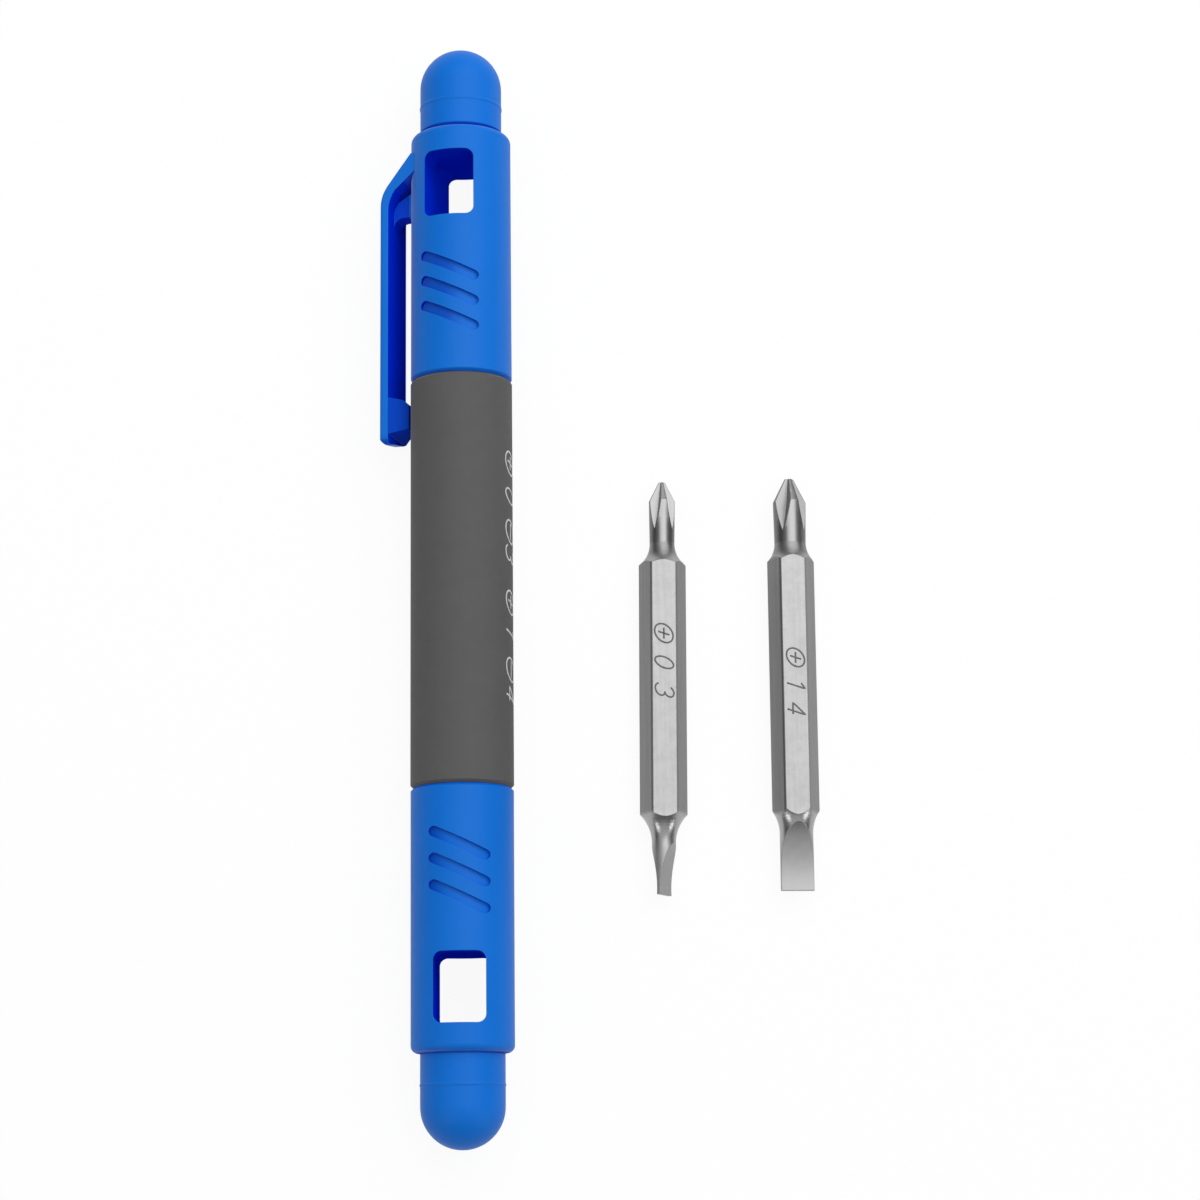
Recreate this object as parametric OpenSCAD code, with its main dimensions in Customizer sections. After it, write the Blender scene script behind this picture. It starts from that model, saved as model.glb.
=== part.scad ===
/* [Barrel] */
// Outside diameter of the soft grip sleeve
barrel_d = 12.4; // [11.8:0.1:14]
// Length of the grip sleeve between the two caps
barrel_len = 50; // [46:1:60]
// Bevel on both ends of the sleeve and on each cap's mouth
joint_bevel = 0.35; // [0.2:0.05:0.5]
// Diameter of the hard core inside the sleeve
core_d = 10; // [9.9:0.1:10.6]
// Diameter of the round necks that the caps push over
neck_d = 9.6; // [9.2:0.1:9.8]
// Length of each neck beyond the sleeve
neck_len = 7.5; // [6.5:0.5:9]
// Bevel that leads a cap onto its neck
neck_bevel = 0.6; // [0.3:0.1:0.8]

/* [Drive socket] */
// Width across flats of the hexagon shank
hex_af = 5; // [4.8:0.05:5.1]
// Play on each side of the shank in its socket
hex_play = 0.05; // [0.03:0.01:0.08]
// Depth of each socket from the end of its neck
socket_depth = 31; // [29:0.5:31.5]
// Width of the bevelled socket mouth
socket_bevel = 0.4; // [0.2:0.1:0.6]
// How much the holding magnet is oversize in the socket
magnet_squeeze = 0.02; // [0.01:0.01:0.05]
// Bevel on the ends of the magnet
magnet_bevel = 0.3; // [0.1:0.1:0.4]

/* [Friction ring] */
// Thickness of the rubber ring on each neck
ring_section = 0.9; // [0.7:0.05:1]
// Distance of the ring from the end of the sleeve
ring_from_sleeve = 4.6; // [3.5:0.1:5]
// Running clearance round the ring
ring_play = 0.03; // [0.02:0.01:0.05]
// Free width beside the ring in its groove
ring_side_play = 0.05; // [0.03:0.01:0.1]

/* [Caps] */
// Diameter of a cap at its mouth
cap_mouth_d = 12.35; // [11.8:0.05:12.8]
// Diameter of a cap at its shoulder
cap_end_d = 12.3; // [11.6:0.1:12.6]
// Length of a cap from its mouth to its shoulder
cap_len = 31.4; // [31:0.1:36]
// Rounding of the shoulder
shoulder_r = 0.9; // [0.6:0.05:1]
// Seam left open between a cap and the sleeve
seam = 0.04; // [0.02:0.01:0.1]
// Radial clearance between a cap and its neck
neck_play = 0.08; // [0.05:0.01:0.1]
// Free depth past the end of the neck
neck_room = 0.5; // [0.3:0.1:1]
// Diameter of the bore that takes the end of a fitted bit
bit_bore_d = 6.2; // [6:0.1:6.4]

/* [Window] */
// Width of the window across the cap
window_w = 6.2; // [5:0.1:6.4]
// Distance of the window from the cap's shoulder
window_from_shoulder = 3.3; // [3:0.1:4]
// Length of the window along the cap
window_len = 8.3; // [7:0.1:8.8]
// Radius of the window's corners
window_corner_r = 1; // [0.6:0.1:1.4]

/* [Grip grooves] */
// Number of slanted grooves on each cap
groove_count = 3; // [1:1:3]
// How far the grooves lie past the middle between mouth and window
groove_shift = 0.4; // [-1:0.1:1]
// Distance between neighbouring grooves
groove_pitch = 3.15; // [2.5:0.05:3.5]
// Length of a groove from end to end
groove_len = 7.9; // [6:0.1:8]
// Width of a groove
groove_w = 1.25; // [0.6:0.05:1.4]
// Depth of a groove below the cap's surface
groove_depth = 0.5; // [0.3:0.05:0.6]
// Slant of the grooves from square across
groove_slant = 25; // [10:1:30]

/* [End plugs] */
// Diameter of the domed plug in the end of a cap
plug_d = 10.06; // [9.6:0.1:10.4]
// How far the plug stands out past the shoulder
plug_out = 11.25; // [9:0.05:12]
// How deep the plug's rim sits in the shoulder
plug_sink = 0.45; // [0.3:0.05:0.6]
// Gap left round the plug's rim
plug_gap = 0.07; // [0.04:0.01:0.1]
// Diameter of the spigot that holds the plug
spigot_d = 8; // [7:0.1:9]
// Length of the spigot
spigot_len = 1.8; // [1.2:0.1:2]
// Distance of the raised bead from the shoulder
bead_from_shoulder = 3.7; // [2.5:0.1:5]
// Thickness of the round bead
bead_section = 0.8; // [0.6:0.1:1.2]
// Height of the bead above the plug
bead_height = 0.07; // [0.04:0.01:0.3]

/* [Pocket clip] */
// Width of the clip
clip_w = 7.5; // [6.5:0.1:8]
// Thickness of the clip
clip_t = 1.1; // [1:0.1:1.5]
// Gap between the clip and the barrel
clip_gap = 2.05; // [1.6:0.05:2.5]
// Rounding along the clip's outer edges
clip_edge_r = 0.45; // [0.2:0.05:0.5]
// Distance of the clip's root from the cap's shoulder
clip_root_from_shoulder = 3.65; // [2.8:0.05:3.8]
// Angle of the clip's shoulder to the axis
clip_slope = 36.7; // [32:0.1:40]
// Radius of the bend between shoulder and blade
clip_bend_r = 5.6; // [4:0.1:7]
// Extra thickness at the clip's root
clip_root_extra = 0.7; // [0.3:0.1:1]
// How far the clip's long edge reaches past the cap's mouth
clip_reach = 7.9; // [7:0.1:9]
// Slant of the clip's free end from square across
clip_end_slant = 10; // [0:1:20]
// Rounding of the clip's free corners
clip_corner_r = 1; // [0.3:0.1:2]
// Rounding of the free end seen from the side
clip_nose_r = 0.9; // [0.5:0.1:1.1]
// Width of the rib under the clip's root
rib_w = 2.6; // [2:0.1:5]
// Length of the rib below the clip's root
rib_len = 6.4; // [6:0.1:8]
// Fillet where the rib meets the clip
rib_fillet_r = 1.3; // [0.4:0.1:1.5]
// Width of the foot under the clip's free end
foot_w = 7.1; // [4:0.1:7.4]
// Clearance between the clip's foot and the barrel
foot_play = 0.12; // [0.08:0.01:0.3]
// Length of the foot's pressing face
foot_face = 2.6; // [2:0.1:4]
// Rounding of the foot's upper edge
foot_round_r = 0.9; // [0.4:0.1:1.2]

/* [Bits] */
// Overall length of a double-ended bit
bit_len = 50.9; // [50:0.1:52]
// Length of the cross end outside the hexagon
cross_end_len = 10.5; // [10:0.1:11]
// Length of the blade end outside the hexagon
blade_end_len = 9.8; // [9.5:0.1:10.5]
// Width of the small blade
small_blade_w = 2.9; // [2.5:0.1:3.2]
// Thickness of the small blade at its edge
small_blade_t = 0.48; // [0.4:0.02:0.6]
// Length ground flat on the small blade
small_grind_len = 6.2; // [5.8:0.1:6.6]
// Diameter of the small cross head
small_head_d = 3.2; // [2.9:0.1:3.2]
// Diameter of the shaft behind the small cross head
small_shaft_d = 3.06; // [2.7:0.02:3.1]
// Width of the small cross head's point
small_point_d = 0.8; // [0.6:0.05:1]
// Width of the large blade
large_blade_w = 4.06; // [3.8:0.02:4.2]
// Thickness of the large blade at its edge
large_blade_t = 0.8; // [0.7:0.05:0.9]
// Length ground flat on the large blade
large_grind_len = 8.2; // [7.8:0.1:8.6]
// Diameter of the large cross head
large_head_d = 4.04; // [3.8:0.02:4.1]
// Diameter of the shaft behind the large cross head
large_shaft_d = 3.86; // [3.4:0.02:3.9]
// Width of the large cross head's point
large_point_d = 1.1; // [0.9:0.05:1.3]
// Half angle of the cross head's point
point_half_angle = 26.5; // [25:0.5:30]
// Length of the flutes of a cross head
flute_len = 5.7; // [5:0.1:6.5]
// Angle between the walls of a flute
flute_angle = 94; // [88:1:100]
// Slope of a flute's root to the axis
flute_slope = 9; // [5:0.5:12]
// Radius of the neck where the hexagon meets the cross shaft
cross_flare_r = 3.4; // [3:0.1:4.5]
// Radius of the neck where the hexagon meets the blade
blade_flare_r = 5; // [4:0.1:6]
// Radius of the wheel that hollows the blade's faces
grind_wheel_r = 12.5; // [12:0.5:40]

/* [Layout] */
// Turn of the plain cap on its neck
plain_cap_turn = -4.8; // [-30:0.1:30]
// Distance of the small bit from the barrel's axis
small_bit_across = 24.52; // [22:0.02:28]
// Distance of the small bit's middle behind the barrel's
small_bit_back = 12.06; // [0:0.1:20]
// Turn of the small bit on the surface
small_bit_turn = -0.45; // [-2:0.05:2]
// Turn of the small blade about its axis
small_blade_turn = 58; // [0:1:90]
// Distance of the large bit from the barrel's axis
large_bit_across = 40.48; // [36:0.02:46]
// Distance of the large bit's middle behind the barrel's
large_bit_back = 11.6; // [0:0.1:20]
// Turn of the large blade about its axis
large_blade_turn = 2; // [0:1:90]
// Turn of the small cross head about its axis
small_cross_turn = 5.5; // [0:0.5:45]
// Turn of the large cross head about its axis
large_cross_turn = 13; // [0:0.5:45]

/* [Hidden] */

$fn = 96;
arc_steps = 10;
// How far a cut runs past the face that it opens
overrun = 1;

barrel_r = barrel_d / 2;
core_r = core_d / 2;
neck_r = neck_d / 2;
half_barrel = barrel_len / 2;
half_core = half_barrel + neck_len;

socket_af = hex_af + 2 * hex_play;
socket_corner_r = socket_af / sqrt(3);
magnet_len = 2 * (half_core - socket_depth);
magnet_r = socket_af / 2 + magnet_squeeze;

cap_mouth_r = cap_mouth_d / 2;
cap_end_r = cap_end_d / 2;
cap_bore_r = neck_r + neck_play;
cap_bore_depth = neck_len + neck_room;
window_end = cap_len - window_from_shoulder;
window_start = window_end - window_len;
groove_first = window_start / 2 + groove_shift - (groove_count - 1) / 2 * groove_pitch;
plug_r = plug_d / 2;

ring_r = ring_section / 2;
ring_mid_r = cap_bore_r - ring_play - ring_r;
ring_groove_r = ring_mid_r - ring_r - ring_play;
ring_groove_w = ring_section + 2 * ring_side_play;

clip_root_z = cap_len - clip_root_from_shoulder;
rib_z = clip_root_z - rib_len;
clip_in_r = barrel_r + clip_gap;
clip_out_r = clip_in_r + clip_t;
foot_r = barrel_r + foot_play;
foot_drop = clip_in_r - foot_r;
// The clip runs into the cap's solid wall down to this distance from the axis
clip_root_in_r = (bit_bore_d / 2 + cap_end_r) / 2;

hex_corner_r = hex_af / sqrt(3);
half_bit = bit_len / 2;
// How round the ends of a grip groove are, as a share of its width
groove_end_share = 0.49;
// How deep the foot is rooted in the clip, and how far it stays off the clip's free end
foot_root_share = 1 / 4;
foot_nose_share = 1.15;
// Length of the foot's front slope, as a share of its height
foot_front_share = 0.55;
// How far the foot's sides slope in towards the barrel, as a share of its height
foot_side_share = 1.2;
// Margin by which the turned blank is larger than the hexagon's corners
blank_margin = 0.08;
blank_r = hex_corner_r + blank_margin;
// Where a flute's root starts, how long it runs out, and the wheel that it runs out on
flute_root_share = 0.135;
flute_run_share = 0.92;
flute_wheel_share = 5;

// The barrel lies on the surface and rolls over until the clip's lower edge touches it
rest_a = clip_out_r - clip_edge_r;
rest_b = clip_w / 2 - clip_edge_r;
rest_roll = atan2(rest_a, rest_b) - acos((barrel_r - clip_edge_r) / norm([rest_a, rest_b]));

// The middle of the whole lay-out is the origin, seen from above
left_reach = rest_a * cos(rest_roll) + rest_b * sin(rest_roll) + clip_edge_r;
right_reach = large_bit_across + hex_corner_r;
barrel_x = (left_reach - right_reach) / 2;

barrel_colour = [0.36, 0.36, 0.37];
core_colour = [0.2, 0.2, 0.21];
cap_colour = [0.1, 0.42, 0.82];
plug_colour = [0.12, 0.46, 0.86];
ring_colour = [0.08, 0.08, 0.08];
magnet_colour = [0.5, 0.5, 0.52];
steel_colour = [0.75, 0.75, 0.76];

// Points on an arc, from one angle to the other
function arc(centre, r, from, to) = [
    for (i = [0:arc_steps])
        let (a = from + (to - from) * i / arc_steps)
        centre + r * [cos(a), sin(a)]
];

// Turns a piece drawn along +Z to lie along +Y at the barrel's place
module on_barrel(turn = 0) {
    translate([barrel_x, 0, barrel_r])
        rotate([0, turn, 0])
            rotate([-90, 0, 0])
                children();
}

// Draws a piece for one end and repeats it at the other end
module both_ends() {
    children();
    mirror([0, 0, 1])
        children();
}

// A hexagon prism drawn along +Z, with its middle at the origin
module hex_prism(af, length) {
    cylinder(r = af / sqrt(3), h = length, center = true, $fn = 6);
}

// A flat shape with round ends or corners, made of exact arcs
module round_rect(size, r) {
    straight = size - 2 * [r, r];
    square([size.x, straight.y], center = true);
    square([straight.x, size.y], center = true);
    for (x = [-straight.x / 2, straight.x / 2], y = [-straight.y / 2, straight.y / 2])
        translate([x, y])
            circle(r);
}

module sleeve_shape() {
    rotate_extrude()
        polygon([
            [core_r, -half_barrel],
            [barrel_r - joint_bevel, -half_barrel],
            [barrel_r, -half_barrel + joint_bevel],
            [barrel_r, half_barrel - joint_bevel],
            [barrel_r - joint_bevel, half_barrel],
            [core_r, half_barrel]
        ]);
}

// One half of the core from its middle to the end of its neck
module core_half() {
    rotate_extrude()
        polygon([
            [0, 0],
            [core_r, 0],
            [core_r, half_barrel],
            [neck_r, half_barrel],
            [neck_r, half_barrel + ring_from_sleeve - ring_groove_w / 2],
            [ring_groove_r, half_barrel + ring_from_sleeve - ring_groove_w / 2],
            [ring_groove_r, half_barrel + ring_from_sleeve + ring_groove_w / 2],
            [neck_r, half_barrel + ring_from_sleeve + ring_groove_w / 2],
            [neck_r, half_core - neck_bevel],
            [neck_r - neck_bevel, half_core],
            [0, half_core]
        ]);
}

// The bevelled mouth that guides a bit into its socket
module socket_mouth() {
    translate([0, 0, half_core - socket_bevel])
        cylinder(
            r1 = socket_af / 2,
            r2 = socket_af / 2 + 2 * socket_bevel,
            h = 2 * socket_bevel
        );
}

module core_shape() {
    difference() {
        both_ends()
            core_half();
        hex_prism(socket_af, 2 * (half_core + overrun));
        both_ends()
            socket_mouth();
    }
}

module magnet_shape() {
    rotate_extrude()
        polygon([
            [0, -magnet_len / 2],
            [magnet_r - magnet_bevel, -magnet_len / 2],
            [magnet_r, -magnet_len / 2 + magnet_bevel],
            [magnet_r, magnet_len / 2 - magnet_bevel],
            [magnet_r - magnet_bevel, magnet_len / 2],
            [0, magnet_len / 2]
        ]);
}

module ring_shape() {
    translate([0, 0, half_barrel + ring_from_sleeve])
        rotate_extrude()
            translate([ring_mid_r, 0])
                circle(ring_r);
}

// Outside of a cap: a slightly tapered tube with a bevelled mouth and a round shoulder
module cap_body() {
    rotate_extrude()
        polygon(concat(
            [
                [0, seam],
                [cap_mouth_r - joint_bevel, seam],
                [cap_mouth_r, seam + joint_bevel]
            ],
            arc([cap_end_r - shoulder_r, cap_len - shoulder_r], shoulder_r, 0, 90),
            [[0, cap_len]]
        ));
}

// Everything turned out of a cap: the neck bore, the bit bore and the seat of its plug
module cap_bores() {
    translate([0, 0, -overrun])
        cylinder(r = cap_bore_r, h = cap_bore_depth + overrun);
    cylinder(r = bit_bore_d / 2, h = window_end);
    translate([0, 0, cap_len - plug_sink])
        cylinder(r = plug_r + plug_gap, h = plug_sink + overrun);
    translate([0, 0, cap_len - plug_sink - spigot_len])
        cylinder(r = spigot_d / 2, h = spigot_len + plug_sink);
}

// The window goes straight through the cap, with parallel walls
module cap_window() {
    translate([0, 0, window_start + window_len / 2])
        rotate([90, 0, 0])
            linear_extrude(cap_mouth_d + 2 * overrun, center = true)
                round_rect([window_w, window_len], window_corner_r);
}

// Slanted grooves of even depth, on the window's side of the cap
module cap_grooves() {
    floor_r = cap_mouth_r - groove_depth;
    intersection() {
        for (i = [0:groove_count - 1])
            translate([0, 0, groove_first + i * groove_pitch])
                rotate([90, 0, 0])
                    linear_extrude(cap_mouth_r + overrun)
                        rotate(-groove_slant)
                            round_rect([groove_len, groove_w], groove_w * groove_end_share);
        difference() {
            cylinder(r = cap_mouth_r + overrun, h = cap_len);
            translate([0, 0, -overrun])
                cylinder(r = floor_r, h = cap_len + 2 * overrun);
        }
    }
}

// Side outline of the clip's blade: x is the distance from the axis
module clip_blade_outline() {
    // Height lost by the outer slope for each unit away from the axis
    fall = 1 / tan(clip_slope);
    bend_z = clip_root_z - (clip_out_r - cap_end_r) * fall - clip_bend_r * tan(clip_slope / 2);
    bend = [clip_out_r - clip_bend_r, bend_z];
    inner_end = bend + (clip_bend_r - clip_t) * [cos(clip_slope), sin(clip_slope)];
    inner_root_z = inner_end.y + (inner_end.x - clip_root_in_r) * fall - clip_root_extra / sin(clip_slope);
    outer_root_z = clip_root_z + (cap_end_r - clip_root_in_r) * fall / 2;
    polygon(concat(
        [
            [clip_root_in_r, inner_root_z],
            [clip_root_in_r, outer_root_z],
            [clip_root_in_r + (cap_end_r - clip_root_in_r) / 2, outer_root_z]
        ],
        arc(bend, clip_bend_r, clip_slope, 0),
        arc([clip_out_r - clip_nose_r, clip_nose_r - clip_reach], clip_nose_r, 0, -90),
        [[clip_in_r, -clip_reach]],
        arc(bend, clip_bend_r - clip_t, 0, clip_slope)
    ));
}

// Side outline of the rib under the clip's shoulder, with its fillet
module clip_rib_outline() {
    mid_r = clip_in_r + clip_t / 2;
    fall = 1 / tan(clip_slope);
    top_z = clip_root_z - (mid_r - cap_end_r) * fall - clip_t / sin(clip_slope) / 2;
    difference() {
        polygon([
            [clip_root_in_r, rib_z - rib_fillet_r],
            [mid_r, rib_z - rib_fillet_r],
            [mid_r, rib_z],
            [mid_r - clip_t, top_z],
            [clip_root_in_r, top_z + (mid_r - clip_t - clip_root_in_r) * fall / 2]
        ]);
        translate([0, rib_z - 2 * rib_fillet_r])
            square([clip_in_r - rib_fillet_r, 2 * rib_fillet_r]);
        translate([clip_in_r - rib_fillet_r, rib_z - rib_fillet_r])
            circle(rib_fillet_r);
    }
}

// Side outline of the foot that presses on the barrel
module clip_foot_outline() {
    mid_r = clip_in_r + clip_t * foot_root_share;
    nose_z = -clip_reach + clip_t * foot_nose_share;
    face_z = nose_z + foot_drop * foot_front_share;
    back_z = face_z + foot_face + foot_round_r;
    polygon(concat(
        [[mid_r, nose_z], [mid_r, back_z]],
        arc([foot_r + foot_round_r, back_z - foot_round_r], foot_round_r, 90, 180),
        [[foot_r, face_z], [clip_in_r, nose_z]]
    ));
}

// Cross-section of the foot, whose sides slope in towards the barrel
module clip_foot_section() {
    mid_r = clip_in_r + clip_t * foot_root_share;
    tip_w = foot_w - 2 * foot_drop * foot_side_share;
    polygon([
        [mid_r, -foot_w / 2],
        [mid_r, foot_w / 2],
        [clip_in_r, foot_w / 2],
        [foot_r, tip_w / 2],
        [foot_r, -tip_w / 2],
        [clip_in_r, -foot_w / 2]
    ]);
}

// The clip's free end seen square on: x runs along the clip, with its long edge at the bottom
module clip_plan(length) {
    rise = sin(clip_end_slant);
    run = cos(clip_end_slant);
    near = clip_reach - clip_corner_r * (1 + rise) / run;
    far = clip_reach - (clip_corner_r + (clip_w - clip_corner_r) * rise) / run;
    polygon(concat(
        [[clip_reach - length, -clip_w / 2]],
        arc([near, clip_corner_r - clip_w / 2], clip_corner_r, -90, clip_end_slant),
        arc([far, clip_w / 2 - clip_corner_r], clip_corner_r, clip_end_slant, 90),
        [[clip_reach - length, clip_w / 2]]
    ));
}

// The clip drawn on the -X side of its cap
module clip_shape() {
    length = clip_root_z + clip_reach + cap_mouth_r;
    mirror([1, 0, 0])
        intersection() {
            union() {
                rotate([90, 0, 0])
                    linear_extrude(clip_w, center = true)
                        clip_blade_outline();
                rotate([90, 0, 0])
                    linear_extrude(rib_w, center = true)
                        clip_rib_outline();
                intersection() {
                    rotate([90, 0, 0])
                        linear_extrude(foot_w, center = true)
                            clip_foot_outline();
                    translate([0, 0, -clip_reach])
                        linear_extrude(length)
                            clip_foot_section();
                }
            }
            // Round outer edges along the blade
            translate([0, 0, -clip_reach])
                linear_extrude(length)
                    translate([clip_out_r / 2, 0])
                        round_rect([clip_out_r, clip_w], clip_edge_r);
            // Round corners and slanted edge at the free end
            rotate([0, 90, 0])
                linear_extrude(clip_out_r + overrun)
                    clip_plan(length);
        }
}

// A cap drawn along +Z, with its mouth at the origin and its window facing -Y
module cap_shape(with_clip) {
    difference() {
        union() {
            cap_body();
            if (with_clip)
                clip_shape();
        }
        cap_bores();
        cap_window();
        cap_grooves();
    }
}

// Domed plug, drawn where it sits in its cap
module plug_shape() {
    rim_z = cap_len - plug_sink;
    dome_z = cap_len + plug_out - plug_r;
    translate([0, 0, rim_z - spigot_len])
        cylinder(r = spigot_d / 2, h = spigot_len + plug_sink);
    translate([0, 0, rim_z])
        cylinder(r = plug_r, h = dome_z - rim_z);
    translate([0, 0, dome_z])
        sphere(plug_r);
    translate([0, 0, cap_len + bead_from_shoulder])
        rotate_extrude()
            translate([plug_r + bead_height - bead_section / 2, 0])
                circle(bead_section / 2);
}

// Turned blank of a bit: cross end at the top, blade end at the bottom
module bit_blank(head_d, shaft_d, point_d, blade_w) {
    hex_top = half_bit - cross_end_len;
    hex_bottom = -half_bit + blade_end_len;
    point_len = (head_d - point_d) / 2 / tan(point_half_angle);
    cross_bend = acos(1 - (blank_r - shaft_d / 2) / cross_flare_r);
    blade_bend = neck_bend(blade_w);
    cross_z = hex_top + cross_flare_r * sin(cross_bend);
    blade_z = hex_bottom - blade_flare_r * sin(blade_bend);
    rotate_extrude()
        polygon(concat(
            [[0, -half_bit], [blade_w / 2, -half_bit]],
            arc([blade_w / 2 + blade_flare_r, blade_z], blade_flare_r, 180, 180 - blade_bend),
            arc([shaft_d / 2 + cross_flare_r, cross_z], cross_flare_r, 180 + cross_bend, 180),
            [
                [head_d / 2, half_bit - point_len],
                [point_d / 2, half_bit],
                [0, half_bit]
            ]
        ));
}

// One flute of a cross head: a straight groove that a round wheel runs out of
module flute(head_d) {
    wheel_r = flute_wheel_share * head_d;
    straight = flute_len - flute_run_share * head_d;
    half_width = wheel_r * tan(flute_angle / 2);
    translate([flute_root_share * head_d / 2, 0, half_bit])
        rotate([0, -flute_slope, 0]) {
            translate([0, 0, -straight])
                linear_extrude(straight + overrun)
                    polygon([[0, 0], [wheel_r, half_width], [wheel_r, -half_width]]);
            translate([wheel_r, 0, -straight])
                rotate([90, 0, 0])
                    rotate_extrude()
                        polygon([[0, -half_width], [wheel_r, 0], [0, half_width]]);
        }
}

// Bend of the neck between the hexagon and a blade
function neck_bend(blade_w) = acos(1 - (blank_r - blade_w / 2) / blade_flare_r);

// The wheel that hollows one face of a blade, from its edge to where it runs out of the blank
module blade_grind(blade_w, blade_t, grind_len) {
    flare_len = max(0, grind_len - blade_end_len + blade_flare_r * sin(neck_bend(blade_w)));
    flare_rise = blade_flare_r - sqrt(pow(blade_flare_r, 2) - pow(flare_len, 2));
    edge = [blade_t / 2, -half_bit];
    run_out = [blade_w / 2 + flare_rise, -half_bit + grind_len];
    chord = run_out - edge;
    across = [chord.y, -chord.x] / norm(chord);
    centre = (edge + run_out) / 2 + across * sqrt(pow(grind_wheel_r, 2) - pow(norm(chord) / 2, 2));
    translate([centre.x, 0, centre.y])
        rotate([90, 0, 0])
            cylinder(r = grind_wheel_r, h = hex_af + 2 * overrun, center = true);
}

// A double-ended bit drawn along +Z
module bit_shape(
    head_d, shaft_d, point_d, head_turn,
    blade_w, blade_t, grind_len, blade_turn
) {
    difference() {
        intersection() {
            hex_prism(hex_af, bit_len + 2 * overrun);
            bit_blank(head_d, shaft_d, point_d, blade_w);
        }
        for (quarter = [0:3])
            rotate(head_turn + 45 + 90 * quarter)
                flute(head_d);
        for (side = [0, 180])
            rotate(side + 90 + blade_turn)
                blade_grind(blade_w, blade_t, grind_len);
    }
}

// Lays a bit on one of its flats
module lay_bit(across, back, turn) {
    translate([barrel_x + across, -back, hex_af / 2])
        rotate([0, 0, turn])
            rotate([-90, 0, 0])
                children();
}

module grip_sleeve() {
    color(barrel_colour)
        on_barrel()
            sleeve_shape();
}

module barrel_core() {
    color(core_colour)
        on_barrel()
            core_shape();
}

module holding_magnet() {
    color(magnet_colour)
        on_barrel()
            magnet_shape();
}

module clip_cap_ring() {
    color(ring_colour)
        on_barrel()
            ring_shape();
}

module plain_cap_ring() {
    color(ring_colour)
        on_barrel()
            mirror([0, 0, 1])
                ring_shape();
}

module clip_cap() {
    color(cap_colour)
        on_barrel(-rest_roll)
            translate([0, 0, half_barrel])
                cap_shape(true);
}

module clip_cap_plug() {
    color(plug_colour)
        on_barrel(-rest_roll)
            translate([0, 0, half_barrel])
                plug_shape();
}

module plain_cap() {
    color(cap_colour)
        on_barrel(plain_cap_turn)
            rotate([0, 180, 0])
                translate([0, 0, half_barrel])
                    cap_shape(false);
}

module plain_cap_plug() {
    color(plug_colour)
        on_barrel(plain_cap_turn)
            rotate([0, 180, 0])
                translate([0, 0, half_barrel])
                    plug_shape();
}

module small_bit() {
    color(steel_colour)
        lay_bit(small_bit_across, small_bit_back, small_bit_turn)
            bit_shape(
                small_head_d, small_shaft_d, small_point_d, small_cross_turn,
                small_blade_w, small_blade_t, small_grind_len, small_blade_turn
            );
}

module large_bit() {
    color(steel_colour)
        lay_bit(large_bit_across, large_bit_back, 0)
            bit_shape(
                large_head_d, large_shaft_d, large_point_d, large_cross_turn,
                large_blade_w, large_blade_t, large_grind_len, large_blade_turn
            );
}

grip_sleeve();
barrel_core();
holding_magnet();
clip_cap_ring();
plain_cap_ring();
clip_cap();
clip_cap_plug();
plain_cap();
plain_cap_plug();
small_bit();
large_bit();
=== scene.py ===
"""Pocket screwdriver: the finish of every piece, the floor, light and camera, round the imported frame."""

import math

import bmesh
import bpy
from mathutils import Matrix, Vector

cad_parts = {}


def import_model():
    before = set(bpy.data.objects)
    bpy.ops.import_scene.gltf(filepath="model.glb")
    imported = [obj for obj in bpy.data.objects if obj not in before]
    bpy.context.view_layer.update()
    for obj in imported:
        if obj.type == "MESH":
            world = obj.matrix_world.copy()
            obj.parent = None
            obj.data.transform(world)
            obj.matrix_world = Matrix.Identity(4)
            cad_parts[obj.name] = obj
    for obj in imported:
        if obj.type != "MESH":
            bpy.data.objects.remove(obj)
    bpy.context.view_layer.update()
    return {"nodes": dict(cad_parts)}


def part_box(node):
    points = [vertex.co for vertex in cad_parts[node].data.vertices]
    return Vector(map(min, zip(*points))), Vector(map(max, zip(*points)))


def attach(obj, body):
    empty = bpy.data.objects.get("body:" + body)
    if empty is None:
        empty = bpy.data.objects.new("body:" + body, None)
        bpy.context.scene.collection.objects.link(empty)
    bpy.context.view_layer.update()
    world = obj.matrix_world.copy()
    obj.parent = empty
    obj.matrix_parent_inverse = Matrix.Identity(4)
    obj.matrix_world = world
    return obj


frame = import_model()
nodes = frame["nodes"]
scene = bpy.context.scene

MM = 0.001

# Camera: eye and aim in millimetres, and the photograph's slight roll
EYE = (-22.304, -75.901, 385.038)
AIM = (0.374, -0.835, 0.0)
UP = (-0.000613, 0.981528, 0.191320)
LENS = 95.69
SENSOR = 36.0

# Strength of the surroundings along the horizon and overhead, and the steepness at which each begins
HORIZON = 0.19
ZENITH = 0.75
DUSK = (0.45, 0.85)

# Colours as they are seen, in display values from 0 to 255
CAP_BLUE = (8, 112, 214)
# The deep blues are painted shade: the caps' inner walls, the grooves' left ends, the clip's pocket and the
# plugs' crevice
CAP_SHADE_BLUE = (0, 50, 225)
GROOVE_SHADE_BLUE = (0, 72, 188)
POCKET_SHADE_BLUE = (16, 66, 198)
CREVICE_SHADE_BLUE = (8, 56, 168)
SLEEVE_GREY = (88, 88, 88)
CORE_BLACK = (48, 48, 50)
STEEL = (165, 165, 165)
STEEL_FLAT = (149, 149, 149)
# The bits' side flats take this grey as painted shade
STEEL_SIDE_SHADE = (130, 130, 130)
MARK_GREY = (106, 106, 106)
PRINT_WHITE = (222, 222, 222)
FLOOR_WHITE = (252, 252, 252)
# Colours in linear light
BLACK = (0.0, 0.0, 0.0)
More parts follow.
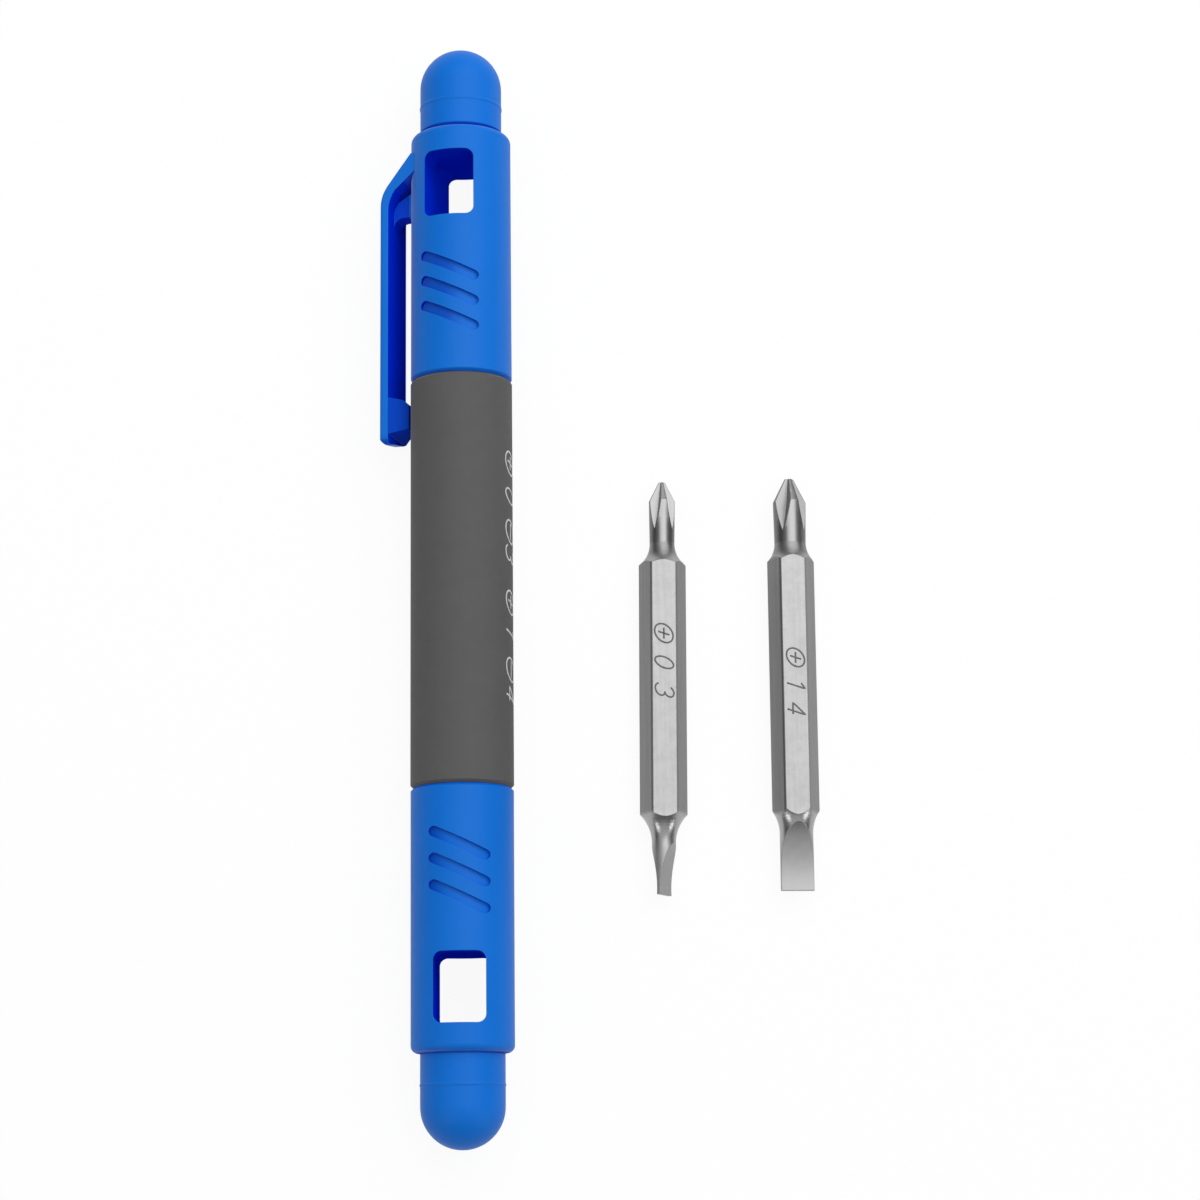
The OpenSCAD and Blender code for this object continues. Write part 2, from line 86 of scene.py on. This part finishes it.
# Painted shade along the upper edges of the bits' side flats
EDGE_SHADE_BLACK = (0.02, 0.02, 0.02)
# Share of the floor that is plain white wherever it is seen; the rest takes the shadow
FLOOR_GLOW = 0.93

# Sizes of the frame, in metres: the barrel's axis and radius, the caps' shoulders, the tip of the
# clip, and the flat that faces up on a bit that lies down
SLEEVE_LOW, SLEEVE_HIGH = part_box("grip_sleeve")
AXIS_X = (SLEEVE_LOW[0] + SLEEVE_HIGH[0]) / 2
AXIS_Z = (SLEEVE_LOW[2] + SLEEVE_HIGH[2]) / 2
BARREL_R = (SLEEVE_HIGH[0] - SLEEVE_LOW[0]) / 2
CAP_END = -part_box("plain_cap")[0][1]
CLIP_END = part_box("clip_cap")[0][1]
FLAT_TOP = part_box("large_bit")[1][2]
# Turn of the clip about the barrel's axis, below the horizontal
CLIP_ROLL = math.radians(16.94)

# Borders between zones of a piece, in millimetres, each with the two ends of its soft step.
# From the barrel's radius outwards:
CAP_SKIN = (-0.14, -0.06)
CLIP_FROM = (0.02, 0.15)
STRIP_INSIDE = (1.95, 2.1)
GROOVE_DEPTH = (-0.4, -0.12)
# From the caps' shoulders outwards along the pen:
SHOULDER_WALL = (-1.3, -1.0)
SHOULDER_FACE = (-0.1, -0.03)
CREVICE_ABOVE = (0.4, 0.65)
CREVICE_BELOW = (-0.1, 0.3)
# From the clip's tip along it, and from the clip's middle to its side:
TIP_FACE = (0.1, 0.6)
STRIP_SIDE = (3.6, 3.72)
# Left part of a groove, which takes painted shade, from the barrel's axis, and how much further it reaches
# on the clip's cap:
GROOVE_LEFT = (-3.9, -1.5)
GROOVE_SHIFT = 1.8 * MM
# Between the two caps:
MIDDLE = (-10.0, 10.0)
# Along a bit, from the cross end to the blade:
CROSS_HEAD = (5.55, 5.85)
RUN_OUT = (3.6, 4.6)
HEXAGON_TOP = (3.4, 4.2)
HEXAGON_FOOT = (-28.0, -27.4)
NECK = (-28.2, -27.0)
BLADE = (-33.0, -29.5)
# From a bit's upper flat upwards:
SHADED_EDGE = (-0.45, -0.25)
UPPER_FLAT = (-0.12, -0.04)

# How far a surface has to face a way, where 1 is straight that way, as the two ends of a soft step.
# Away from the barrel's axis:
CAP_SURFACE = (0.5, 0.8)
BORE = (-0.85, -0.25)
CLIP_SLOPE = (0.5, 0.7)
GROOVE_FLOOR = (0.6, 0.8)
# Upwards:
FACING_UP = (0.35, 0.8)
# To either side of a bit, and to its right:
WING_SIDE = (0.15, 0.4)
SIDE_FLAT = (0.45, 0.8)
SHADED_FLAT = (0.3, 0.6)
RIGHT_FLAT = (-0.1, 0.1)

# Levels of noise between which hairline scuffs and the wear of a flat set in
SCUFFED = (0.62, 0.74)
WORN = (0.35, 0.65)

# Shares of the deep painted shade colours where they aren't full
END_FACE_SHARE = 0.6
TIP_SHARE = 0.7
POCKET_SHARE = 0.88
GROOVE_SHARE = 0.7
# Shares of painted shade on the ground cross end: its wings' sides, all of its head, its run-out
WING_SHADE = 0.42
HEAD_SHADE = 0.1
RUN_OUT_SHADE = 0.36
# Shares of painted shade along the flats' upper edges on the right and, on top of it, on the left
EDGE_SHADE_SHARE = 0.25
LEFT_EDGE_SHADE_SHARE = 0.4

# Rays that Bevel nodes send out to find the edges
EDGE_SAMPLES = 8
# Height that a mark keeps of its round stroke, so that it lies on the surface as a film
MARK_HEIGHT = 0.12


def linear(colour):
    """Linear light of a display colour."""
    channels = [c / 255 for c in colour]
    return tuple(c / 12.92 if c <= 0.04045 else ((c + 0.055) / 1.055) ** 2.4 for c in channels)


class Field:
    """A socket that takes part in sums and products, each of which adds a Math node."""

    def __init__(self, finish, socket):
        self.finish = finish
        self.socket = socket

    def maths(self, operation, first, second):
        return self.finish.add("ShaderNodeMath", {"operation": operation}, {0: first, 1: second})

    def __add__(self, other):
        return self.maths("ADD", self, other)

    def __sub__(self, other):
        return self.maths("SUBTRACT", self, other)

    def __rsub__(self, other):
        return self.maths("SUBTRACT", other, self)

    def __mul__(self, other):
        return self.maths("MULTIPLY", self, other)

    def __truediv__(self, other):
        return self.maths("DIVIDE", self, other)

    def __pow__(self, other):
        return self.maths("POWER", self, other)

    def __abs__(self):
        return self.maths("ABSOLUTE", self, 0.0)

    def least(self, other):
        return self.maths("MINIMUM", self, other)

    def most(self, other):
        return self.maths("MAXIMUM", self, other)

    __radd__ = __add__
    __rmul__ = __mul__


class Finish:
    """The nodes of a material, or of the world."""

    def __init__(self, owner, closing="ShaderNodeOutputMaterial"):
        self.owner = owner
        self.closing = closing
        self.kinds = {}
        owner.use_nodes = True
        self.tree = owner.node_tree
        self.tree.nodes.clear()

    def add(self, kind, settings, inputs, output=0):
        """Adds a node: its settings first, then the values or links of its sockets."""
        node = self.tree.nodes.new(kind)
        for name, value in settings.items():
            setattr(node, name, value)
        for name, value in inputs.items():
            if isinstance(value, Field):
                self.tree.links.new(value.socket, node.inputs[name])
            else:
                node.inputs[name].default_value = value
        return Field(self, node.outputs[output]) if node.outputs else None

    def coordinates(self, kind):
        """Texture coordinates; one node of each kind serves the whole tree."""
        if kind not in self.kinds:
            self.kinds[kind] = self.add("ShaderNodeTexCoord", {}, {}, kind)
        return self.kinds[kind]

    def part(self, kind, axis):
        """One part of a kind of coordinates: 0 is x, 1 is y, 2 is z."""
        return self.add("ShaderNodeSeparateXYZ", {}, {"Vector": self.coordinates(kind)}, axis)

    def step(self, value, low, high, first=0.0, last=1.0):
        """Smooth step from the first result at the low value to the last one at the high value."""
        inputs = {0: value, 1: low, 2: high, 3: first, 4: last}
        settings = {"interpolation_type": "SMOOTHSTEP", "clamp": True}
        return self.add("ShaderNodeMapRange", settings, inputs)

    def border(self, distance, ends, start=0.0):
        """Soft step across a border, whose ends are in millimetres from a start in metres."""
        return self.step(distance, *(start + end * MM for end in ends))

    def drawn_out(self, share):
        """Object coordinates for a pattern that is drawn out along the pen."""
        return self.add("ShaderNodeMapping", {}, {
            "Vector": self.coordinates("Object"),
            "Scale": (1.0, share, 1.0),
        })

    def noise(self, scale, detail, roughness=0.5, place=None):
        """Soft random field from 0 to 1; the scale is in features per metre."""
        return self.add("ShaderNodeTexNoise", {}, {
            "Vector": place or self.coordinates("Object"),
            "Scale": scale,
            "Detail": detail,
            "Roughness": roughness,
        })

    def mix(self, share, first, second):
        """Blend of two colours, which a Mix node takes in sockets 6 and 7 and gives from its output 2."""
        settings = {"data_type": "RGBA"}
        colours = [c if isinstance(c, Field) else (*c, 1.0) for c in (first, second)]
        return self.add("ShaderNodeMix", settings, {0: share, 6: colours[0], 7: colours[1]}, 2)

    def mottled(self, share, colour, dark, light):
        """A display colour that varies between a darker and a lighter shade of itself."""
        shades = [tuple(c * shade for c in linear(colour)) for shade in (dark, light)]
        return self.mix(share, *shades)

    def relief(self, height, depth, strength, edge):
        """Normal of a fine relief, over edges that are broken by a small radius; depth and radius in mm."""
        edges = self.add("ShaderNodeBevel", {"samples": EDGE_SAMPLES}, {"Radius": edge * MM})
        inputs = {"Height": height, "Distance": depth * MM, "Strength": strength, "Normal": edges}
        return self.add("ShaderNodeBump", {}, inputs)

    def shader(self, inputs):
        return self.add("ShaderNodeBsdfPrincipled", {}, inputs)

    def painted_shade_shader(self, colour):
        """Dull shader without gloss, for plastic that takes painted shade."""
        return self.shader({"Base Color": colour, "Roughness": 0.9, "Specular IOR Level": 0.0})

    def blend(self, share, first, second):
        """Blend of two shaders."""
        return self.add("ShaderNodeMixShader", {}, {0: share, 1: first, 2: second})

    def surface(self, shader):
        """Joins the shader to the output and gives what the nodes belong to."""
        self.add(self.closing, {}, {"Surface": shader})
        return self.owner


def new_finish(name):
    return Finish(bpy.data.materials.new(name))


def from_axis(f):
    """Distance from the barrel's axis, and how far the surface faces away from it."""
    across = f.part("Object", 0) - AXIS_X
    height = f.part("Object", 2) - AXIS_Z
    reach = (across * across + height * height) ** 0.5
    outward = (f.part("Normal", 0) * across + f.part("Normal", 2) * height) / reach
    return reach, outward


def inner_wall_shade(f):
    """Mask of painted shade on a cap's inner surfaces: the window's walls, the bores and the clip's inner
    face, and partly on the shoulders' end face.
    """
    reach, outward = from_axis(f)
    along = abs(f.part("Object", 1))
    wall = 1.0 - f.step(outward, *CAP_SURFACE)
    wall = wall * (1.0 - f.border(reach, CAP_SKIN, BARREL_R))
    wall = wall * (1.0 - f.border(along, SHOULDER_WALL, CAP_END))
    turned_in = 1.0 - f.step(outward, *BORE)
    end_face = f.border(along, SHOULDER_FACE, CAP_END)
    return wall.most(turned_in).most(END_FACE_SHARE * end_face)


def clip_pocket_shade(f):
    """Mask of painted shade on what stands between the clip's strip and the cap: the rib, the foot and the
    gap's ends, and partly on the clip's tip.
    """
    across = f.part("Object", 0) - AXIS_X
    height = f.part("Object", 2) - AXIS_Z
    away = across * -math.cos(CLIP_ROLL) - height * math.sin(CLIP_ROLL)
    side = height * math.cos(CLIP_ROLL) - across * math.sin(CLIP_ROLL)
    outward = from_axis(f)[1]
    off_cap = f.border(away, CLIP_FROM, BARREL_R)
    between = 1.0 - f.border(away, STRIP_INSIDE, BARREL_R)
    between = between * (1.0 - f.border(side, STRIP_SIDE))
    # The strip's own outer face slopes down to the cap through the same space
    between = between * (1.0 - f.step(outward, *CLIP_SLOPE))
    tip = 1.0 - f.border(f.part("Object", 1), TIP_FACE, CLIP_END)
    return off_cap * between.most(TIP_SHARE * tip)


def groove_shade(f):
    """Mask of painted shade in the left end of each grip groove; it reaches further along those of the
    clip's cap.
    """
    reach, outward = from_axis(f)
    on_clip_cap = f.border(f.part("Object", 1), MIDDLE)
    across = f.part("Object", 0) - AXIS_X - GROOVE_SHIFT * on_clip_cap
    sunk = 1.0 - f.border(reach, GROOVE_DEPTH, BARREL_R)
    return sunk * (1.0 - f.border(across, GROOVE_LEFT)) * f.step(outward, *GROOVE_FLOOR)


def moulded_plastic(name, colour):
    """Satin moulded plastic with a fine grain, faint flow marks and hairline scuffs."""
    f = new_finish(name)
    cloud = f.noise(110.0, 3.0)
    grain = f.noise(6000.0, 2.0)
    scuff = f.step(f.noise(2600.0, 2.0, place=f.drawn_out(0.08)), *SCUFFED)
    return f, f.mottled(cloud, colour, 0.94, 1.06), {
        "Roughness": 0.42 + 0.1 * cloud + 0.12 * scuff,
        "Specular IOR Level": 0.14,
        "Normal": f.relief(grain, 0.01, 0.2, 0.18),
    }


def plain_plastic(name, colour):
    """Plastic of the core and the rings, which the caps cover."""
    f, skin, sheen = moulded_plastic(name, colour)
    return f.surface(f.shader({"Base Color": skin, **sheen}))


def cap_plastic(name, colour, deep):
    """Plastic of the caps, with painted shade: deep blue and a dull shader on its inner walls and in the
    clip's pocket, and a darker blue at the grooves' left ends.
    """
    f, skin, sheen = moulded_plastic(name, colour)
    # Painted shade in the left end of each groove
    skin = f.mix(GROOVE_SHARE * groove_shade(f), skin, linear(GROOVE_SHADE_BLUE))
    outer = f.shader({"Base Color": skin, **sheen})
    # Painted shade between the clip and the cap, paler where it faces up
    pocket = clip_pocket_shade(f)
    upward = f.step(f.part("Normal", 2), *FACING_UP)
    inner = f.painted_shade_shader(f.mix(pocket * upward, linear(deep), linear(POCKET_SHADE_BLUE)))
    # Painted shade: the inner walls and the clip's pocket blend into the dull shader
    return f.surface(f.blend(inner_wall_shade(f).most(POCKET_SHARE * pocket), outer, inner))


def plug_plastic(name, colour, deep):
    """Plastic of the domed plugs, with painted shade in deep blue in the crevice round their foot."""
    f, skin, sheen = moulded_plastic(name, colour)
    along = f.part("Object", 1)
    # The clip cap's shoulder hides the foot of its plug, so the shade reaches further up it
    above = 1.0 - f.border(along, CREVICE_ABOVE, CAP_END)
    below = 1.0 - f.border(along * -1.0, CREVICE_BELOW, CAP_END)
    outer = f.shader({"Base Color": skin, **sheen})
    return f.surface(f.blend(above.least(below), outer, f.painted_shade_shader((*linear(deep), 1.0))))


def soft_rubber(name, colour):
    """Soft-touch skin: dull, mottled and faintly scuffed."""
    f = new_finish(name)
    cloud = f.noise(160.0, 5.0)
    patch = f.noise(700.0, 3.0)
    grain = f.noise(5000.0, 3.0)
    return f.surface(f.shader({
        "Base Color": f.mottled(0.6 * cloud + 0.4 * patch, colour, 0.84, 1.14),
        "Roughness": 0.6 + 0.2 * cloud,
        "Specular IOR Level": 0.3,
        "Normal": f.relief(grain, 0.02, 0.35, 0.12),
    }))


def plated_steel(name, colour):
    """Satin plated steel with fine drawn lines, broad bands and faint stains."""
    f = new_finish(name)
    drawn = f.drawn_out(0.03)
    lines = f.noise(9000.0, 2.0, place=drawn)
    broad = f.noise(2200.0, 2.0, place=drawn)
    stain = f.noise(900.0, 5.0, 0.6)
    sheen = {
        "Metallic": 1.0,
        "Roughness": 0.26 + 0.1 * stain + 0.06 * broad,
        "Normal": f.relief(lines, 0.005, 0.5, 0.13),
    }
    return f, f.mottled(stain, colour, 0.86, 1.08), sheen, broad, stain


def magnet_steel(name, colour):
    """Plain plated steel of the magnet."""
    f, skin, sheen = plated_steel(name, colour)[:3]
    return f.surface(f.shader({"Base Color": skin, **sheen}))


def bit_steel(name, colour, flat, side):
    """Plated steel of the bits, with painted shade on the side flats, their upper edges and the cross end.
    """
    f, skin, sheen, broad, stain = plated_steel(name, colour)
    along, height = f.part("Object", 1), f.part("Object", 2)
    sideways = abs(f.part("Normal", 0))
    # Painted shade darkens the ground cross end: the sides of its wings most, all of its head a little, and
    # the run-out behind it, leaving the flutes paler
    head = f.border(along, CROSS_HEAD)
    run_out = (1.0 - head) * f.border(along, RUN_OUT)
    wings = head * f.step(sideways, *WING_SIDE)
    lit = 1.0 - WING_SHADE * wings - HEAD_SHADE * head - RUN_OUT_SHADE * run_out
    skin = f.mix(lit, BLACK, skin)
    # The blade of the other end is honed to a duller satin
    satin = (1.0 - f.border(along, BLADE)).most(0.35 * (head + run_out))
    neck = (1.0 - f.border(along, NECK)) * (1.0 - satin)
    hexagon = f.border(along, HEXAGON_FOOT) * (1.0 - f.border(along, HEXAGON_TOP))
    # Painted shade: the hexagon's side flats take a darker grey
    dull = f.mottled(broad, side, 0.78, 1.2)
    skin = f.mix(f.step(sideways, *SIDE_FLAT) * hexagon, skin, dull)
    # Painted shade lies along the upper edges of the side flats, most on the left
    edge = f.border(height, SHADED_EDGE, FLAT_TOP) * hexagon * f.step(sideways, *SHADED_FLAT)
    left = 1.0 - f.step(f.part("Normal", 0), *RIGHT_FLAT)
    skin = f.mix(edge * (EDGE_SHADE_SHARE + LEFT_EDGE_SHADE_SHARE * left), skin, EDGE_SHADE_BLACK)
    # The upper flats are worn in patches
    wear = f.step(0.6 * stain + 0.4 * broad, *WORN)
    pale = f.mottled(wear, flat, 0.88, 1.06)
    skin = f.mix(f.border(height, UPPER_FLAT, FLAT_TOP), skin, pale)
    sheen["Roughness"] = sheen["Roughness"] + 0.17 * satin - 0.06 * neck
    return f.surface(f.shader({"Base Color": skin, **sheen}))


def dull_ink(name, colour, metallic):
    """Worn print or etching."""
    f = new_finish(name)
    wear = f.noise(2500.0, 4.0, 0.6)
    return f.surface(f.shader({
        "Base Color": f.mottled(wear, colour, 0.75, 1.0),
        "Metallic": metallic,
        "Roughness": 0.45 + 0.2 * wear,
        "Specular IOR Level": 0.3,
    }))


FINISHES = {
    "cap": cap_plastic("cap_blue", CAP_BLUE, CAP_SHADE_BLUE),
    "plug": plug_plastic("plug_blue", CAP_BLUE, CREVICE_SHADE_BLUE),
    "sleeve": soft_rubber("soft_grey", SLEEVE_GREY),
    "core": plain_plastic("core_black", CORE_BLACK),
    "magnet": magnet_steel("magnet_steel", STEEL),
    "bit": bit_steel("bit_steel", STEEL, STEEL_FLAT, STEEL_SIDE_SHADE),
}
NODE_FINISH = {
    "grip_sleeve": "sleeve",
    "barrel_core": "core",
    "holding_magnet": "magnet",
    "clip_cap_ring": "core",
    "plain_cap_ring": "core",
    "clip_cap": "cap",
    "clip_cap_plug": "plug",
    "plain_cap": "cap",
    "plain_cap_plug": "plug",
    "small_bit": "bit",
    "large_bit": "bit",
}
ETCHING = dull_ink("etched_grey", MARK_GREY, 1.0)
PRINT = dull_ink("print_white", PRINT_WHITE, 0.0)
for node_name, finish in NODE_FINISH.items():
    for material_slot in nodes[node_name].material_slots:
        material_slot.material = FINISHES[finish]
    # The loose bits lie clear of the caps and mirror only the studio
    nodes[node_name].visible_glossy = finish not in ("cap", "plug")


def oval(centre, radii, start=0.0, end=360.0, steps=24):
    """Points along part of an oval, anticlockwise where the end is larger; angles in degrees."""
    angles = [math.radians(start + (end - start) * i / steps) for i in range(steps + 1)]
    return [(centre[0] + radii[0] * math.cos(a), centre[1] + radii[1] * math.sin(a)) for a in angles]


def line(*points, steps=8):
    """Points along a chain of straight lines."""
    chain = [points[0]]
    for first, last in zip(points, points[1:]):
        for i in range(1, steps + 1):
            chain.append(tuple(a + (b - a) * i / steps for a, b in zip(first, last)))
    return chain


# Strokes of the size marks, one unit high: plain figures, and the signs of a cross and of a slot
SIGNS = {
    "0": [oval((0.33, 0.5), (0.3, 0.5))],
    "1": [line((0.1, 0.78), (0.34, 1.0), (0.34, 0.0))],
    "3": [oval((0.28, 0.74), (0.27, 0.26), 160, -75) + oval((0.28, 0.27), (0.32, 0.27), 75, -160)],
    "4": [line((0.46, 0.0), (0.46, 1.0), (0.0, 0.3), (0.64, 0.3))],
    "cross": [oval((0.5, 0.5), (0.5, 0.5)), line((0.5, 0.2), (0.5, 0.8)), line((0.2, 0.5), (0.8, 0.5))],
    "slot": [oval((0.5, 0.5), (0.5, 0.5)), line((0.12, 0.5), (0.88, 0.5))],
}
SIGN_WIDTH = {"0": 0.66, "1": 0.5, "3": 0.6, "4": 0.64, "cross": 1.0, "slot": 1.0}
# Lean of the marks, in widths for each height
SLANT = 0.33


def size_marks(name, body, finish, row, height, stroke, put):
    """Row of marks drawn with one stroke width and laid on a surface by put(along, up, out), all in mm.

    The row lists each sign with the middle of its place along the row.
    """
    pen = bpy.data.curves.new(name, "CURVE")
    pen.dimensions = "3D"
    pen.bevel_depth = stroke / 2
    pen.bevel_resolution = 2
    pen.use_fill_caps = True
    for sign, middle in row:
        for path in SIGNS[sign]:
            spline = pen.splines.new("POLY")
            spline.points.add(len(path) - 1)
            for point, (x, y) in zip(spline.points, path):
                lean = (y - 0.5) * SLANT
                along = middle + (x - SIGN_WIDTH[sign] / 2 + lean) * height
                point.co = (along, y * height, 0.0, 1.0)
    drawn = bpy.data.objects.new(name, pen)
    scene.collection.objects.link(drawn)
    mesh = bpy.data.meshes.new_from_object(drawn.evaluated_get(bpy.context.evaluated_depsgraph_get()))
    bpy.data.objects.remove(drawn)
    work = bmesh.new()
    work.from_mesh(mesh)
    bmesh.ops.remove_doubles(work, verts=work.verts, dist=stroke / 200)
    for vert in work.verts:
        vert.co = Vector(put(*vert.co)) * MM
    bmesh.ops.recalc_face_normals(work, faces=work.faces)
    work.to_mesh(mesh)
    work.free()
    mesh.materials.clear()
    mesh.materials.append(finish)
    mesh.name = name
    piece = bpy.data.objects.new(name, mesh)
    scene.collection.objects.link(piece)
    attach(piece, body)


def on_flat(left, top):
    """Lays marks on a bit's upper flat, read down the picture."""
    def put(along, up, out):
        return left + up, -along, top + out * MARK_HEIGHT
    return put


def round_barrel(angle, radius):
    """Wraps marks round the barrel from an angle off the top, read down the picture."""
    def put(along, up, out):
        turn = angle + up / radius
        reach = radius + out * MARK_HEIGHT
        return AXIS_X / MM + reach * math.sin(turn), -along, AXIS_Z / MM + reach * math.cos(turn)
    return put


size_marks("small_bit_marks", "small_bit", ETCHING,
           [("cross", 5.9), ("0", 9.5), ("3", 13.0)],
           height=2.25, stroke=0.21, put=on_flat(6.68, FLAT_TOP / MM))
size_marks("large_bit_marks", "large_bit", ETCHING,
           [("cross", 8.9), ("1", 12.2), ("4", 15.3)],
           height=2.2, stroke=0.21, put=on_flat(22.72, FLAT_TOP / MM))
size_marks("sleeve_marks", "barrel", PRINT,
           [("cross", -14.4), ("0", -10.3), ("slot", -5.9), ("3", -3.0),
            ("cross", 2.8), ("1", 6.4), ("slot", 11.0), ("4", 14.1)],
           height=2.7, stroke=0.25, put=round_barrel(math.radians(58.5), BARREL_R / MM))


def floor():
    """Pale floor that keeps the shadow and reads as white."""
    mesh = bpy.data.meshes.new("floor")
    work = bmesh.new()
    bmesh.ops.create_grid(work, x_segments=1, y_segments=1, size=3.0)
    work.to_mesh(mesh)
    work.free()
    piece = bpy.data.objects.new("floor", mesh)
    scene.collection.objects.link(piece)
    f = new_finish("floor_white")
    camera_ray, glossy_ray, clear_ray = [f.add("ShaderNodeLightPath", {}, {}, name) for name in (
        "Is Camera Ray", "Is Glossy Ray", "Is Transmission Ray")]
    seen = camera_ray.most(glossy_ray).most(clear_ray)
    dull = f.add("ShaderNodeBsdfDiffuse", {}, {"Color": (*linear(FLOOR_WHITE), 1.0)})
    bright = f.add("ShaderNodeEmission", {}, {"Color": (1.0, 1.0, 1.0, 1.0), "Strength": 1.0})
    mesh.materials.append(f.surface(f.blend(seen * FLOOR_GLOW, dull, bright)))


def light(name, place, size, power):
    """Soft lamp, aimed at the middle of the floor."""
    lamp = bpy.data.lights.new(name, "AREA")
    lamp.shape = "RECTANGLE"
    lamp.size, lamp.size_y = size
    lamp.energy = power
    piece = bpy.data.objects.new(name, lamp)
    piece.location = place
    piece.rotation_mode = "QUATERNION"
    piece.rotation_quaternion = (-Vector(place)).to_track_quat("-Z", "Y")
    scene.collection.objects.link(piece)
    return piece


def world():
    """Surroundings of a studio: dim along the horizon and pale overhead."""
    f = Finish(bpy.data.worlds.new("studio"), "ShaderNodeOutputWorld")
    strength = f.step(f.part("Generated", 2), *DUSK, HORIZON, ZENITH)
    scene.world = f.surface(f.add("ShaderNodeBackground", {}, {
        "Color": (1.0, 1.0, 1.0, 1.0),
        "Strength": strength,
    }))


def camera():
    """Camera at the photograph's angle."""
    eye, aim, up = Vector(EYE), Vector(AIM), Vector(UP)
    back = (eye - aim).normalized()
    right = up.cross(back).normalized()
    turn = Matrix((right, back.cross(right), back)).transposed()
    lens = bpy.data.cameras.new("camera")
    lens.sensor_width = SENSOR
    lens.lens = LENS
    lens.clip_start, lens.clip_end = 0.01, 20.0
    piece = bpy.data.objects.new("camera", lens)
    piece.matrix_world = Matrix.Translation(eye * MM) @ turn.to_4x4()
    scene.collection.objects.link(piece)
    scene.camera = piece


floor()
light("softbox", place=(0.14, 0.27, 0.47), size=(0.62, 0.74), power=2.5)
# Two strips that only show as highlights in the polished steel
for strip, strip_place in (("left_strip", (-0.41, -0.34, 0.28)), ("right_strip", (0.43, -0.34, 0.24))):
    light(strip, strip_place, size=(0.13, 0.28), power=0.38).visible_diffuse = False
world()
camera()
scene.view_settings.view_transform = "Standard"
